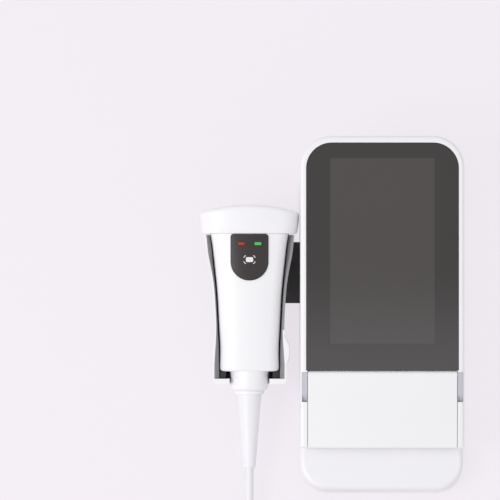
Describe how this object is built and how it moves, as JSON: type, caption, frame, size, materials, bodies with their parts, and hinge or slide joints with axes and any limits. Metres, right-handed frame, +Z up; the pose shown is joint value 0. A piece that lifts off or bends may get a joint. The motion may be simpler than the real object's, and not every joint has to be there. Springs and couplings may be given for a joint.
{
  "type": "rapid test reader",
  "caption": "Bench-top rapid test reader with a sloping touch screen and a hinged strip door, and a corded barcode scanner resting in a side cradle.",
  "frame": {"origin": "on the bench, under the middle of the reader and its scanner without the free cord", "axes": "+X to the right of the screen, +Y away from the user, +Z up"},
  "size_m": [0.1746, 0.3154, 0.0728],
  "materials": {
    "white_plastic": "satin",
    "grey_plastic": "satin",
    "dark_plastic": "matt",
    "cradle_grey": "matt",
    "key_panel": "satin",
    "screen_glass": "polished",
    "display": "satin",
    "scan_window": "polished",
    "red_light": "translucent",
    "green_light": "translucent",
    "rubber": "matt",
    "steel": "satin",
    "sheet_metal": "satin",
    "circuit_board": "satin",
    "chips": "matt",
    "cord_grey": "satin"
  },
  "bodies": {
    "reader": {"base_shell": "white_plastic", "top_shell": "white_plastic", "strip_bay": "grey_plastic", "port_bezel": "dark_plastic", "hinge_ear_left": "grey_plastic", "hinge_ear_right": "grey_plastic", "hinge_pins": "steel", "feet": "rubber", "battery_cover": "white_plastic", "battery_pack": "dark_plastic", "speaker": "dark_plastic", "main_board": "circuit_board", "board_chips": "chips", "board_screws": "steel", "casing_screws": "steel", "radio_module": "steel", "screen_glass": "screen_glass", "display_panel": "display", "display_frame": "sheet_metal", "measuring_module": "dark_plastic", "sensor_board": "circuit_board", "sensor_parts": "chips", "data_ports": "steel", "power_inlet": "dark_plastic", "inlet_pin": "steel", "power_switch": "chips", "side_bracket": "dark_plastic", "bracket_screws": "steel", "cradle_screws": "steel", "cradle_shell": "white_plastic", "cradle_liner": "cradle_grey", "seat_pads": "rubber", "cord_lead": "cord_grey", "cord_coil": "cord_grey", "cord_tie": "dark_plastic", "cord_tail": "cord_grey", "plug_grip": "cord_grey", "plug_shell": "steel"},
    "door": {"strip_door": "white_plastic"},
    "scanner": {"scanner_front_shell": "white_plastic", "scanner_back_shell": "white_plastic", "scanner_head": "white_plastic", "scanner_screws": "steel", "scan_window": "scan_window", "red_light": "red_light", "green_light": "green_light", "scanner_board": "circuit_board", "scanner_chips": "chips", "trigger_switch": "chips", "beeper": "dark_plastic", "imager_module": "dark_plastic", "end_collar": "white_plastic", "collar_ring": "white_plastic", "cord_boot": "cord_grey"},
    "scan_key": {"scan_key": "key_panel"},
    "power_button": {"power_button": "grey_plastic"}
  },
  "joints": [
    {"name": "door_hinge", "type": "hinge", "parent": "reader", "child": "door", "pos_m": [0.0301, -0.03743, 0.04093], "axis": [-1, 0, 0], "range_deg": [0, 80]},
    {"name": "scanner_lift", "type": "slide", "parent": "reader", "child": "scanner", "axis": [0, -0.2079, 0.9781], "range_m": [0, 0.06]},
    {"name": "scan_key_press", "type": "slide", "parent": "scanner", "child": "scan_key", "axis": [0, 0.2079, -0.9781], "range_m": [0, 0.0008], "stiffness_N_per_m": 1500, "springref_m": -0.0006},
    {"name": "power_button_press", "type": "slide", "parent": "reader", "child": "power_button", "axis": [0, -1, 0], "range_m": [0, 0.0008], "stiffness_N_per_m": 1200, "springref_m": -0.0006}
  ]
}
